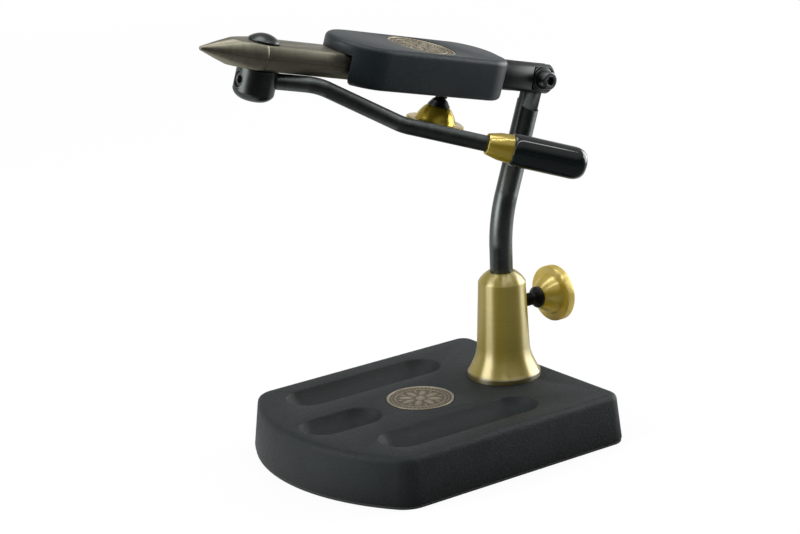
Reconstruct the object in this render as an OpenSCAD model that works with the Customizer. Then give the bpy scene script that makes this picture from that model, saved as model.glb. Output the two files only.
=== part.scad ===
// Fly tying vise on a pocket base, in millimetres.
// +X is the way the jaws point, +Z is up, and the post axis is x = 0, y = 0.
// z = 0 is the underside of the non-slip pad.

/* [Base] */
// Height from the bench to the top face of the base
base_h = 20.5; // [18:0.5:28]
// Distance from the post axis back to the rear edge
base_rear = 22; // [19:1:40]
// Distance from the post axis to the tip of the front arc
base_front = 110; // [108:1:140]
// Width of the base at its foot
base_w = 107.2; // [100:0.2:130]
// Radius of the wide front arc
base_arc_r = 82.1; // [72:0.1:120]
// Radius of the two front corners, seen from above
base_front_corner_r = 11.7; // [6:0.1:16]
// Radius of the two rear corners, seen from above
base_rear_corner_r = 7.8; // [5:0.1:12]
// How far the side walls lean in over the full height
base_draft = 1.9; // [0.5:0.1:3]
// Rounding of the top edge
base_edge_r = 2.7; // [1:0.1:3.5]
// Thickness of the non-slip pad under the casting
pad_t = 1.2; // [0.8:0.1:2]
// How far the pad stays inside the foot of the casting
pad_inset = 0.3; // [0.2:0.1:2]

/* [Pockets] */
// Radius of the round cutter that leaves the pocket floors
pocket_cutter_r = 11; // [10:0.1:13]
// Depth of the pockets
pocket_depth = 6; // [5.5:0.1:8]
// Distance of the two long pockets from the centre line
pocket_side_y = 31.8; // [29:0.1:36]
// Rear end centre of the long pockets
long_pocket_rear_x = 21; // [18:0.5:30]
// Front end centre of the long pockets
long_pocket_front_x = 77; // [60:0.5:82]
// Rear end centre of the short pocket
short_pocket_rear_x = 75.2; // [72:0.1:80]
// Front end centre of the short pocket
short_pocket_front_x = 92.4; // [85:0.1:95]

/* [Medallions] */
// Radius of the round inlays on the base and the head
medallion_r = 13.9; // [11:0.1:14]
// Thickness of an inlay
medallion_t = 2.2; // [1.8:0.1:3]
// Width of the raised rim of an inlay
medallion_rim_w = 0.8; // [0.5:0.1:1.5]
// Height of the raised rim over the field
medallion_rim_h = 0.35; // [0.2:0.05:0.6]
// Gap between an inlay and the wall of its recess
medallion_gap = 0.15; // [0.05:0.05:0.3]
// Centre of the base inlay, forward of the post
base_medallion_x = 44.2; // [40:0.1:50]
// How far the base inlay stands over the top face
base_medallion_proud = 0.2; // [0:0.1:0.8]
// Centre of the head inlay along the head, from the tilt pivot
head_medallion_x = 61.5; // [55:0.1:66]
// How far the head inlay lies under the top face
head_medallion_sunk = 0.2; // [0:0.1:0.5]

/* [Post] */
// Radius of the foot flange
post_flange_r = 15.3; // [13:0.1:18]
// Height of the straight edge of the foot flange
post_flange_h = 2.4; // [1.5:0.1:4]
// Height at which the flare meets the body
post_flare_h = 9.7; // [7:0.1:14]
// Body radius just over the flare
post_foot_r = 11.2; // [10:0.1:12.5]
// Body radius just under the crown
post_neck_r = 9.85; // [9:0.05:11]
// Height of the whole post over the base
post_h = 44.9; // [42:0.1:54]
// Height of the rounded crown
post_crown_h = 4.2; // [3:0.1:7]
// Radius of the flat lip round the stem
post_lip_r = 5.7; // [5.4:0.1:7]
// Depth of the stem bore, from the top
post_bore_depth = 38.3; // [34:0.1:38.5]
// Radius of the bolt that holds the post from below
post_bolt_r = 3; // [2.5:0.1:4]
// Length of that bolt under its head
post_bolt_l = 17; // [14:0.5:18]
// Radius of the bolt head
post_bolt_head_r = 5; // [4.5:0.1:6]
// Height of the bolt head
post_bolt_head_h = 5; // [4:0.1:6]
// Radius of the bolt's washer
bolt_washer_r = 6.4; // [6.2:0.1:7]
// Thickness of the bolt's washer
bolt_washer_t = 1.2; // [0.8:0.1:1.6]

/* [Stem] */
// Radius of the stem, a three eighths inch rod
stem_r = 4.7625; // [4.5:0.0125:5.2]
// Height of the stem's lower end over the bench
stem_bottom_z = 37.5; // [37:0.5:40]
// Height at which the bend starts
bend_start_z = 76; // [75:0.5:90]
// Radius of the bend at the stem's centre line
bend_r = 66; // [40:1:90]
// How far the upper part leans back, in degrees
stem_lean = 19.2; // [10:0.1:28]
// Straight length from the bend to the tilt pivot
stem_arm = 48.9; // [42:0.1:60]
// Thickness of the milled tongue at the top
tongue_t = 2.8; // [2.4:0.1:5]
// Length of the milled flats under the tilt pivot
tongue_l = 13.4; // [12.6:0.1:18]
// Height of the glide foot under the stem
stem_foot_h = 1.5; // [1:0.1:3]

/* [Thumb knobs] */
// Radius of the knob's disc
knob_r = 11.8; // [10:0.1:14]
// Thickness of the knob's disc
knob_disc_t = 4.2; // [2.5:0.1:5]
// Rounding of the disc's edge
knob_edge_r = 0.5; // [0.3:0.1:1.5]
// Radius of the domed hub at the disc
knob_hub_r = 8.45; // [7:0.05:10]
// Height of the domed hub
knob_hub_h = 6.2; // [4:0.1:8]
// Radius of the flat end of the hub
knob_hub_top_r = 4.4; // [3.8:0.1:6]
// Radius of the threaded stud
stud_r = 2.7; // [2.5:0.1:3.5]
// Pitch of the stud's thread, in millimetres a turn
stud_pitch = 1; // [0.75:0.05:1.25]
// Radius of the collar on the stud
stud_collar_r = 4.5; // [3.8:0.1:5.2]
// Length of the collar on the stud
stud_collar_l = 2.6; // [1.5:0.1:3.5]
// Height of the post's clamp screw over the bench
post_knob_z = 50; // [48:0.1:54]
// Distance from the post axis to the post knob's disc
post_knob_reach = 25.7; // [25:0.1:32]
// Length of the plug in front of the post's clamp screw
post_plug_l = 3.2; // [2:0.1:4]
// Place of the head's clamp screw along the head, from the tilt pivot
head_knob_x = 46; // [44:0.1:50]
// Distance from the head's axis down to the head knob's disc
head_knob_reach = 21.3; // [20.4:0.1:26]
// Length of the plug in front of the head's clamp screw
head_plug_l = 1.8; // [1.2:0.1:2.2]

/* [Head pose] */
// How far the jaws point up from level, in degrees
head_pitch = 13.3; // [0:0.1:16]
// How far the head is rolled to its right about its own axis, in degrees
head_roll = 7; // [-20:0.5:20]

/* [Pivot arm] */
// Radius of the pivot arm
arm_r = 6.2; // [6.1:0.05:7]
// Length of the arm behind the tilt pivot
arm_rear = 6.4; // [6.2:0.1:8]
// Length of the fork's slot in front of the tilt pivot
fork_slot_l = 12.5; // [12:0.1:13]
// Distance from the mid plane to the milled seat of the screw
fork_seat_y = 4; // [3.6:0.1:4.6]
// Radius of the milled seat of the screw
fork_seat_r = 6.2; // [5.8:0.1:7]
// Radius of the spindle that carries the head
spindle_r = 4; // [3.6:0.1:4.4]
// Length from the tilt pivot to the spindle's front end
spindle_end = 60; // [56:0.5:64]
// Depth of the spindle's lock groove
spindle_groove_d = 0.8; // [0.5:0.05:1]
// Radius of the tilt screw
tilt_screw_r = 2; // [1.8:0.1:2.5]
// Radius of the tilt screw's head
tilt_head_r = 3.65; // [3.3:0.05:4]
// Height of the tilt screw's head
tilt_head_h = 4.4; // [3.5:0.1:5]
// Across flats of the hex socket in the tilt screw
tilt_socket_af = 3.2; // [2.5:0.1:4]
// Radius of the tilt screw's washers
tilt_washer_r = 5.4; // [4.6:0.1:5.8]
// Thickness of the spring washer
spring_washer_t = 1.1; // [0.8:0.1:1.4]
// Thickness of the flat washer
flat_washer_t = 0.7; // [0.5:0.1:1]

/* [Head] */
// Height of the head's top face over its axis
head_top = 8.4; // [8:0.1:9.5]
// Depth of the head's underside below its axis
head_bottom = 8; // [7.6:0.1:9]
// Radius of the head's round front end
head_front_r = 16.9; // [16.5:0.1:18]
// Centre of the round front end, from the tilt pivot
head_front_x = 87.5; // [85:0.1:92]
// Radius of the rear corner on the flat side
head_near_corner_r = 12; // [6:0.1:13]
// Centre of that corner, from the tilt pivot
head_near_corner_x = 35.8; // [35:0.1:40]
// Radius of the rear corner on the curved side
head_far_corner_r = 14.5; // [11:0.1:15]
// Centre of that corner, from the tilt pivot
head_far_corner_x = 37.5; // [36:0.1:42]
// Offset of that corner from the head's axis
head_far_corner_y = 1.5; // [0:0.1:2.4]
// Rounding of the head's top and bottom edges
head_edge_r = 2; // [1:0.1:2.5]
// Space over the jaws in their channel
channel_roof_gap = 0.3; // [0.25:0.05:0.6]
// Space between the jaws and each wall of their channel
channel_side_gap = 1.5; // [0.4:0.1:1.8]
// Distance from the tilt pivot to the jaw channel's rear wall
channel_rear_x = 80; // [78:0.5:81]

/* [Jaws] */
// Radius of the round stock of the jaws
jaw_r = 8.5; // [8:0.05:8.8]
// Thickness of the two jaws together, over their flats
jaw_t = 9.8; // [9.2:0.1:10.2]
// Drop of the jaws' centre line below the head's axis
jaw_drop = 1.7; // [1.4:0.05:2.2]
// How far the jaws point up from the head's axis, in degrees
jaw_rise = 0.3; // [0:0.05:0.5]
// Distance from the tilt pivot to the jaws' rear end
jaw_rear_x = 80.8; // [80.6:0.1:82]
// Distance from the cam pin to the start of the turned point
jaw_cone_start = 2.8; // [0.4:0.1:5]
// Length of the turned point
jaw_point_l = 24.8; // [20:0.1:32]
// How much the turned point bulges over a straight cone
jaw_point_bulge = 0.4; // [0:0.05:0.6]
// Radius of the blunt tip
jaw_tip_r = 1; // [0.6:0.1:1.5]
// Gap of the split between the closed jaws
jaw_split = 0.1; // [0.06:0.02:0.2]
// Place of the jaws' cross pin, from the tilt pivot
jaw_pin_x = 86; // [85:0.5:88]
// Radius of the jaws' cross pin
jaw_pin_r = 1.5; // [1.2:0.1:1.8]

/* [Cam and lever] */
// Place of the cam pin, from the tilt pivot
cam_x = 135.6; // [132:0.1:138]
// Radius of the cam pin
cam_pin_r = 2.5; // [2:0.1:3]
// Radius of the cam disc between the jaws
cam_disc_r = 4.5; // [4:0.1:5]
// Half the thickness of the cam disc at its middle
cam_disc_half = 1.2; // [1:0.05:1.5]
// How far each jaw is lifted at the cam when the jaws are open
cam_lift = 0.3; // [0.2:0.05:0.4]
// Turn of the lever that opens the jaws, in degrees
cam_turn = 110; // [90:5:120]
// Radius of the domed button on the jaws
button_r = 6.1; // [5:0.1:7]
// Height of the domed button
button_h = 2.8; // [2:0.1:4]
// Radius of the collar under the jaws
collar_r = 8; // [7.4:0.1:9]
// Height of the collar's straight side
collar_side_h = 9.1; // [8.4:0.1:10]
// Height of the collar's rounded lower end
collar_round_h = 3.2; // [2:0.1:4]
// Radius of the collar's flat lower end
collar_end_r = 4; // [3:0.1:5]
// Radius of the collar's set screw
set_screw_r = 3; // [2.5:0.1:3.1]
// Across flats of the hex socket in the set screw
set_screw_af = 3; // [2:0.1:3.5]
// Radius of the lever's rod
rod_r = 3.15; // [3:0.05:3.4]
// Angle of the closed lever out from under the head, in degrees
lever_yaw = 27; // [26:0.5:32]
// Rise of the lever from the collar to its first knee, in degrees
first_rise = 5.5; // [0:0.1:7]
// Distance from the cam pin to the first knee of the lever
knee_1 = 23.6; // [22:0.1:30]
// Distance from the cam pin to the second knee of the lever
knee_2 = 59; // [56:0.1:66]
// Fall of the lever between its knees, in degrees
knee_fall = 14.1; // [10:0.1:16]
// Fall of the lever behind its second knee, in degrees
tail_fall = 1.7; // [0:0.1:3]
// Radius of the lever's two bends
knee_r = 25; // [15:1:30]
// Distance from the cam pin to the ferrule
ferrule_x = 92.5; // [88:0.1:95]
// Length of the ferrule
ferrule_l = 9.9; // [8:0.1:12]
// Radius of the ferrule's thin end
ferrule_r1 = 4.1; // [3.7:0.1:4.3]
// Radius of the ferrule's thick end
ferrule_r2 = 5.7; // [5:0.1:6]
// Radius of the grip
grip_r = 6.4; // [5.8:0.1:7]
// Length of the grip
grip_l = 30.1; // [24:0.1:31]

/* [Hidden] */

// Number of facets of the round forms
fine = 96;
mid = 48;
// Overrun of the cuts past a face
over = 1;
// Radial clearance of a running fit, and of a screw in its thread
run_gap = 0.05;
// Gap between pieces that are screwed or pushed home on each other
seat_gap = 0.02;
// A bend is this much thicker in radius than the straight runs, which end this far inside it
bend_swell = 0.02;
bend_lap = 0.4;
// Clearance of a bolt in a plain hole
bolt_gap = 0.2;
// Gap between the jaws and what they move past
jaw_gap = 0.15;
// Share of a full dome in the soft shoulders of the turned pieces
soft_bulge = 1 / 3;

// Height of the casting's underside, over its pad
cast_z = pad_t;
// Centre of the front arc, and of the four rounded corners
arc_x = base_front - base_arc_r;
front_corner_y = base_w / 2 - base_front_corner_r;
front_corner_x = arc_x + sqrt(pow(base_arc_r - base_front_corner_r, 2) - pow(front_corner_y, 2));
arc_half = atan2(front_corner_y, front_corner_x - arc_x);
rear_corner_x = base_rear_corner_r - base_rear;
rear_corner_y = base_w / 2 - base_rear_corner_r;
// Height of the cutter's centre over the base, while it sinks a pocket
pocket_z = base_h - pocket_depth + pocket_cutter_r;
// Depth of the counterbore for the post's bolt
bolt_pit_h = post_bolt_head_h + bolt_washer_t + over;

// Depth of the tapped hole for that bolt in the post
post_tap_depth = post_bolt_l - (base_h - cast_z - bolt_pit_h) + over - bolt_washer_t;

post_top_z = base_h + post_h;
post_crown_z = post_h - post_crown_h;
stem_bore_r = stem_r + run_gap;

// Place of the tilt pivot, worked out along the bent stem
pivot_x = -bend_r * (1 - cos(stem_lean)) - stem_arm * sin(stem_lean);
pivot_z = bend_start_z + bend_r * sin(stem_lean) + stem_arm * cos(stem_lean);
fork_slot_w = tongue_t + 2 * run_gap;
// Length of the thick part of the arm, up to the head's rear end
head_rear_x = min(head_near_corner_x - head_near_corner_r, head_far_corner_x - head_far_corner_r);
arm_front = head_rear_x - run_gap;
head_bore_end = spindle_end + over;

// The head knob's and the post knob's screws, measured out from the piece that they clamp
head_plug_tip = spindle_r - spindle_groove_d + run_gap;
head_hub_top = head_knob_reach - knob_hub_h;
post_hub_top = post_knob_reach - knob_hub_h;

jaw_half = jaw_t / 2;
jaw_top = jaw_half - jaw_drop;
jaw_bottom = jaw_half + jaw_drop;
split_half = jaw_split / 2;
channel_half_w = jaw_r + channel_side_gap;
channel_roof = jaw_top + channel_roof_gap;
// Ends of the turned point
jaw_cone_x = cam_x + jaw_cone_start;
jaw_tip_x = jaw_cone_x + jaw_point_l;
// Opening of each jaw about its cross pin, in degrees
jaw_open = atan(cam_lift / (cam_x - jaw_pin_x));

// The cam disc's faces lie aslant, so turning it lifts both jaws off each other
cam_gap = jaw_gap;
cam_slope = (cam_lift + cam_gap / 2) / (2 * cam_disc_r * sin(cam_turn / 2));
cam_tilt = atan(cam_slope);
// How far the jaws' centre line has risen at the cam, and its height there
cam_rise = (cam_x - jaw_pin_x) * tan(jaw_rise);
cam_mid_z = cam_rise - jaw_drop;

collar_top = jaw_bottom - cam_rise + cam_lift + jaw_gap;
// Depth of the lever's rod on the cam pin's axis, so that its run clears the edge of the lower jaw
jaw_flat_y = sqrt(pow(jaw_r, 2) - pow(jaw_half, 2));
rod_clear = jaw_gap;
rod_cross = jaw_flat_y / sin(lever_yaw);
rod_z = jaw_bottom - cam_rise + rod_cross * tan(jaw_rise) + rod_r + rod_clear + rod_cross * tan(first_rise);
collar_side_z = collar_top + collar_side_h;
set_screw_z = collar_side_z - collar_round_h * 4 / 3;
collar_end_z = collar_side_z + collar_round_h;
button_z = jaw_top + (cam_x + button_r - jaw_pin_x) * (tan(jaw_rise) + tan(jaw_open)) + run_gap;
// The lever's rod starts beside the cam pin and ends inside the grip
rod_start = cam_pin_r + rod_r * tan(first_rise) + run_gap;
knee_1_rise = knee_1 * tan(first_rise);
knee_2_drop = (knee_2 - knee_1) * tan(knee_fall) - knee_1_rise;
grip_x = ferrule_x + ferrule_l;
rod_end = grip_x + grip_l / 2;
// Form of the grip's ends: a short swell at the ferrule, and a dome with a low nib
grip_swell_l = grip_r / 2;
grip_nose = grip_r * 4 / 5;
grip_nib_h = grip_r / 8;
grip_nib_r = grip_r / 2;

// Puts children in the arm's frame: x along the arm towards the jaws, z up, y to the vise's left
module arm_frame() {
    translate([pivot_x, 0, pivot_z]) rotate([0, -head_pitch, 0]) children();
}

// Puts children in the head's frame, rolled about the arm's axis
module head_frame() {
    arm_frame() rotate([-head_roll, 0, 0]) children();
}

// Puts children in the jaws' frame, whose x axis is the jaws' centre line
module jaw_frame() {
    head_frame() translate([jaw_pin_x, 0, -jaw_drop]) rotate([0, -jaw_rise, 0])
        translate([-jaw_pin_x, 0, 0]) children();
}

// Puts children in the lever's plane: x away from the cam pin, z as in the head's frame
module lever_frame() {
    head_frame() translate([cam_x, 0, 0]) rotate([0, 0, 180 - lever_yaw]) children();
}

// Points of a quarter round from angle a to angle b about a centre, radius r
function arc(centre, r, a, b, n) = [for (i = [0:n])
    centre + r * [cos(a + (b - a) * i / n), sin(a + (b - a) * i / n)]];

// Points of a quarter ellipse that bulges outwards, from a low outer point to a high inner one
function dome(low, high, n) = [for (i = [0:n])
    [high[0] + (low[0] - high[0]) * cos(90 * i / n), low[1] + (high[1] - low[1]) * sin(90 * i / n)]];

// Points between that dome and a straight chamfer
function soft_dome(low, high, n, bulge) = [for (i = [0:n])
    bulge * dome(low, high, n)[i] + (1 - bulge) * (low + (high - low) * i / n)];

// The same points in the other order
function reversed(points) = [for (i = [len(points) - 1:-1:0]) points[i]];

// Points of a soft turn at corner b, from a point a to a point c
function blend(a, b, c, n) = [for (i = [0:n])
    pow(1 - i / n, 2) * a + 2 * (1 - i / n) * i / n * b + pow(i / n, 2) * c];

// Outline of the base, seen from above, shrunk by an inset
function base_outline(inset) = concat(
    arc([rear_corner_x, rear_corner_y], base_rear_corner_r - inset, 180, 90, 12),
    arc([front_corner_x, front_corner_y], base_front_corner_r - inset, 90, arc_half, 12),
    arc([arc_x, 0], base_arc_r - inset, arc_half, -arc_half, 24),
    arc([front_corner_x, -front_corner_y], base_front_corner_r - inset, -arc_half, -90, 12),
    arc([rear_corner_x, -rear_corner_y], base_rear_corner_r - inset, -90, -180, 12));

// Section through the edge of a plate: outer radius r, leaning in by draft, with rounded edges
function edge_section(r, low, high, draft, low_round, high_round) = concat(
    [[0, low]],
    low_round > 0 ? arc([r - low_round, low + low_round], low_round, -90, 0, 4) : [[r, low]],
    arc([r - draft - high_round, high - high_round], high_round, 0, 90, 4),
    [[0, high]]);

// One turned corner of the casting
module base_disc(r, angle) {
    rotate_extrude(angle = angle, $fn = angle < 180 ? 2 * fine : mid)
        polygon(edge_section(r, cast_z, base_h, base_draft, 0, base_edge_r));
}

// A long round-bottomed pocket between two end centres
module pocket(x_from, x_to, y) {
    translate([x_from, y, pocket_z]) {
        sphere(pocket_cutter_r, $fn = fine);
        rotate([0, 90, 0]) cylinder(h = x_to - x_from, r = pocket_cutter_r, $fn = fine);
    }
    translate([x_to, y, pocket_z]) sphere(pocket_cutter_r, $fn = fine);
}

module base_casting() {
    color([0.10, 0.11, 0.12]) difference() {
        hull() {
            for (s = [-1, 1]) {
                translate([rear_corner_x, s * rear_corner_y]) base_disc(base_rear_corner_r, 360);
                translate([front_corner_x, s * front_corner_y]) base_disc(base_front_corner_r, 360);
            }
            translate([arc_x, 0]) rotate([0, 0, -arc_half]) base_disc(base_arc_r, 2 * arc_half);
        }
        pocket(long_pocket_rear_x, long_pocket_front_x, pocket_side_y);
        pocket(long_pocket_rear_x, long_pocket_front_x, -pocket_side_y);
        pocket(short_pocket_rear_x, short_pocket_front_x, 0);
        translate([base_medallion_x, 0, base_h + base_medallion_proud - medallion_t - seat_gap])
            cylinder(h = medallion_t + over, r = medallion_r + medallion_gap, $fn = fine);
        translate([0, 0, cast_z - over])
            cylinder(h = bolt_pit_h + over, r = bolt_washer_r + bolt_gap, $fn = mid);
        cylinder(h = base_h + over, r = post_bolt_r + bolt_gap, $fn = mid);
    }
}

module base_pad() {
    color([0.06, 0.06, 0.06]) linear_extrude(pad_t) polygon(base_outline(pad_inset));
}

// A round inlay with a raised rim, its back on z = 0
module medallion() {
    rotate_extrude($fn = fine) polygon([
        [0, 0], [medallion_r, 0], [medallion_r, medallion_t], [medallion_r - medallion_rim_w, medallion_t],
        [medallion_r - medallion_rim_w - medallion_rim_h, medallion_t - medallion_rim_h],
        [0, medallion_t - medallion_rim_h]]);
}

module base_medallion() {
    color([0.42, 0.36, 0.26])
        translate([base_medallion_x, 0, base_h + base_medallion_proud - medallion_t]) medallion();
}

// The post's outline, from its axis to its surface
function post_profile() =
    let (flange = [post_flange_r - post_flange_h / 4, post_flange_h], foot = [post_foot_r, post_flare_h],
         neck = [post_neck_r, post_crown_z])
    concat(
        [[0, 0], [post_flange_r, 0], [post_flange_r, post_flange_h - post_flange_h / 4], flange],
        blend(foot + (flange - foot) / 2, foot, foot + (neck - foot) / 9, 6),
        soft_dome(neck, [post_lip_r, post_h], 8, soft_bulge), [[0, post_h]]);

module post() {
    color([0.78, 0.66, 0.36]) translate([0, 0, base_h]) difference() {
        rotate_extrude($fn = fine) polygon(post_profile());
        translate([0, 0, post_h - post_bore_depth])
            cylinder(h = post_bore_depth + over, r = stem_bore_r, $fn = fine);
        translate([0, 0, -over])
            cylinder(h = post_tap_depth + over, r = post_bolt_r + seat_gap, $fn = mid);
        translate([0, 0, post_knob_z - base_h]) rotate([0, -90, 0])
            cylinder(h = post_flange_r, r = stud_r + run_gap, $fn = mid);
    }
}

module post_bolt() {
    seat_z = cast_z + bolt_pit_h - bolt_washer_t - seat_gap;
    color([0.2, 0.2, 0.22]) difference() {
        union() {
            translate([0, 0, seat_z - post_bolt_head_h])
                cylinder(h = post_bolt_head_h, r = post_bolt_head_r, $fn = mid);
            translate([0, 0, seat_z]) cylinder(h = post_bolt_l, r = post_bolt_r, $fn = mid);
        }
        translate([0, 0, seat_z - post_bolt_head_h - over])
            cylinder(h = post_bolt_head_h / 2 + over, r = post_bolt_r, $fn = 6);
    }
}

module post_bolt_washer() {
    washer_z = cast_z + bolt_pit_h - bolt_washer_t - seat_gap / 2;
    color([0.6, 0.6, 0.62]) translate([0, 0, washer_z]) difference() {
        cylinder(h = bolt_washer_t - seat_gap / 2, r = bolt_washer_r, $fn = mid);
        translate([0, 0, -over])
            cylinder(h = bolt_washer_t + 2 * over, r = post_bolt_r + bolt_gap, $fn = mid);
    }
}

module stem_foot() {
    color([0.85, 0.85, 0.82]) translate([0, 0, stem_bottom_z - stem_foot_h - seat_gap])
        cylinder(h = stem_foot_h, r = stem_r, $fn = fine);
}

// Flat on one side of the stem's tongue, with the round end that the cutter leaves
module tongue_flat(side) {
    cutter_r = 2 * stem_r;
    translate([0, side * tongue_t / 2, 0]) rotate([side < 0 ? 90 : -90, 0, 0])
    linear_extrude(2 * stem_r) {
        translate([0, tongue_l - cutter_r]) circle(cutter_r, $fn = fine);
        translate([-cutter_r, -2 * stem_r]) square([2 * cutter_r, tongue_l - cutter_r + 2 * stem_r]);
    }
}

module stem() {
    color([0.16, 0.17, 0.18]) {
        difference() {
            union() {
                translate([0, 0, stem_bottom_z])
                    cylinder(h = bend_start_z - stem_bottom_z + bend_lap, r = stem_r, $fn = fine);
                translate([-bend_r, 0, bend_start_z]) rotate([90, 0, 0])
                    rotate_extrude(angle = stem_lean, $fn = fine)
                        translate([bend_r, 0]) circle(stem_r + bend_swell, $fn = fine);
                translate([pivot_x, 0, pivot_z]) rotate([0, -stem_lean, 0]) {
                    translate([0, 0, -stem_arm - bend_lap])
                        cylinder(h = stem_arm + bend_lap, r = stem_r, $fn = fine);
                    rotate([90, 0, 0]) cylinder(h = tongue_t, r = stem_r, center = true, $fn = fine);
                }
            }
            translate([pivot_x, 0, pivot_z]) rotate([0, -stem_lean, 0]) {
                tongue_flat(-1);
                tongue_flat(1);
                rotate([90, 0, 0])
                    cylinder(h = 2 * tongue_t, r = tilt_screw_r + run_gap, center = true, $fn = mid);
            }
        }
    }
}

// Screw of a thumb knob along +z: a plain end at z = from, and a collar under the hub at z = hub_top
module knob_stud(from, hub_top) {
    cone_r = stud_r + (stud_collar_r - stud_r) / 4;
    rotate_extrude($fn = mid) polygon([
        [0, from], [stud_r, from], [stud_r, hub_top - stud_collar_l], [cone_r, hub_top - stud_collar_l],
        [stud_collar_r, hub_top - stud_collar_l / 2], [stud_collar_r, hub_top - seat_gap],
        [stud_r, hub_top - seat_gap], [stud_r, hub_top + knob_hub_h], [0, hub_top + knob_hub_h]]);
}

// Thumb knob along +z, its hub's flat end on z = hub_top
module thumb_knob(hub_top) {
    disc_z = knob_hub_h;
    back_z = disc_z + knob_disc_t;
    translate([0, 0, hub_top]) difference() {
        rotate_extrude($fn = fine) polygon(concat(
            [[0, 0]],
            reversed(soft_dome([knob_hub_r, knob_hub_h], [knob_hub_top_r, 0], 8, soft_bulge)),
            arc([knob_r - knob_edge_r, disc_z + knob_edge_r], knob_edge_r, -90, 0, 5),
            arc([knob_r - knob_edge_r, back_z - knob_edge_r], knob_edge_r, 0, 90, 5),
            [[0, back_z]]));
        translate([0, 0, -over])
            cylinder(h = knob_hub_h + over + seat_gap, r = stud_r + seat_gap, $fn = mid);
    }
}

// Puts children on the post's clamp screw: z out of the post towards the knob
module post_screw_frame() {
    translate([0, 0, post_knob_z]) rotate([0, -90, 0]) children();
}

// Puts children on the head's clamp screw: z down out of the head towards the knob
module head_screw_frame() {
    head_frame() translate([head_knob_x, 0, 0]) rotate([180, 0, 0]) children();
}

module post_plug() {
    color([0.78, 0.66, 0.36]) post_screw_frame() translate([0, 0, stem_bore_r])
        cylinder(h = post_plug_l, r = stud_r, $fn = mid);
}

module post_stud() {
    color([0.1, 0.1, 0.1]) post_screw_frame()
        knob_stud(stem_bore_r + post_plug_l + seat_gap, post_hub_top);
}

module post_knob() {
    color([0.80, 0.68, 0.36]) post_screw_frame() thumb_knob(post_hub_top);
}

module head_plug() {
    color([0.78, 0.66, 0.36]) head_screw_frame() translate([0, 0, head_plug_tip])
        cylinder(h = head_plug_l, r = stud_r, $fn = mid);
}

module head_stud() {
    color([0.1, 0.1, 0.1]) head_screw_frame()
        knob_stud(head_plug_tip + head_plug_l + seat_gap, head_hub_top);
}

module head_knob() {
    color([0.80, 0.68, 0.36]) head_screw_frame() thumb_knob(head_hub_top);
}

module pivot_arm() {
    groove_half = stud_r + run_gap + over / 4;
    chamfer = arm_r / 10;
    color([0.16, 0.17, 0.18]) arm_frame() difference() {
        rotate([0, 90, 0]) rotate_extrude($fn = fine) polygon([
            [0, -arm_rear], [arm_r - chamfer, -arm_rear], [arm_r, chamfer - arm_rear], [arm_r, arm_front],
            [spindle_r, arm_front], [spindle_r, head_knob_x - groove_half - spindle_groove_d],
            [spindle_r - spindle_groove_d, head_knob_x - groove_half],
            [spindle_r - spindle_groove_d, head_knob_x + groove_half],
            [spindle_r, head_knob_x + groove_half + spindle_groove_d], [spindle_r, spindle_end],
            [0, spindle_end]]);
        translate([-arm_rear - over, -fork_slot_w / 2, -arm_r - over])
            cube([arm_rear + over + fork_slot_l, fork_slot_w, 2 * arm_r + 2 * over]);
        rotate([-90, 0, 0]) {
            translate([0, 0, fork_seat_y]) cylinder(h = arm_r, r = fork_seat_r, $fn = fine);
            cylinder(h = arm_r, r = tilt_screw_r + bolt_gap, $fn = mid);
            translate([0, 0, -arm_r - over])
                cylinder(h = arm_r + over, r = tilt_screw_r + seat_gap, $fn = mid);
        }
    }
}

// Puts children on the tilt screw: z out of the fork towards the screw's head
module tilt_frame() {
    arm_frame() rotate([-90, 0, 0]) children();
}

module tilt_screw() {
    seat = fork_seat_y + spring_washer_t + flat_washer_t + 3 * seat_gap;
    edge = tilt_head_h / 10;
    color([0.12, 0.12, 0.13]) tilt_frame() difference() {
        rotate_extrude($fn = mid) polygon([
            [0, -arm_r], [tilt_screw_r, -arm_r], [tilt_screw_r, seat], [tilt_head_r, seat],
            [tilt_head_r, seat + tilt_head_h - edge], [tilt_head_r - edge, seat + tilt_head_h],
            [0, seat + tilt_head_h]]);
        translate([0, 0, seat + tilt_head_h / 2])
            cylinder(h = tilt_head_h, r = tilt_socket_af / 2 / cos(30), $fn = 6);
    }
}

// A washer on the tilt screw, its inner face at z = from
module tilt_washer(from, t, r) {
    tilt_frame() translate([0, 0, from]) difference() {
        cylinder(h = t, r = r, $fn = mid);
        translate([0, 0, -over]) cylinder(h = t + 2 * over, r = tilt_screw_r + bolt_gap / 2, $fn = mid);
    }
}

module spring_washer() {
    color([0.15, 0.15, 0.16]) tilt_washer(fork_seat_y + seat_gap, spring_washer_t, tilt_washer_r);
}

module flat_washer() {
    color([0.2, 0.2, 0.21])
        tilt_washer(fork_seat_y + spring_washer_t + 2 * seat_gap, flat_washer_t,
                    tilt_washer_r - flat_washer_t);
}

// One turned corner of the head, at x and y
module head_disc(x, y, r) {
    translate([x, y]) rotate_extrude($fn = fine)
        polygon(edge_section(r, -head_bottom, head_top, 0, head_edge_r, head_edge_r));
}

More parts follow.
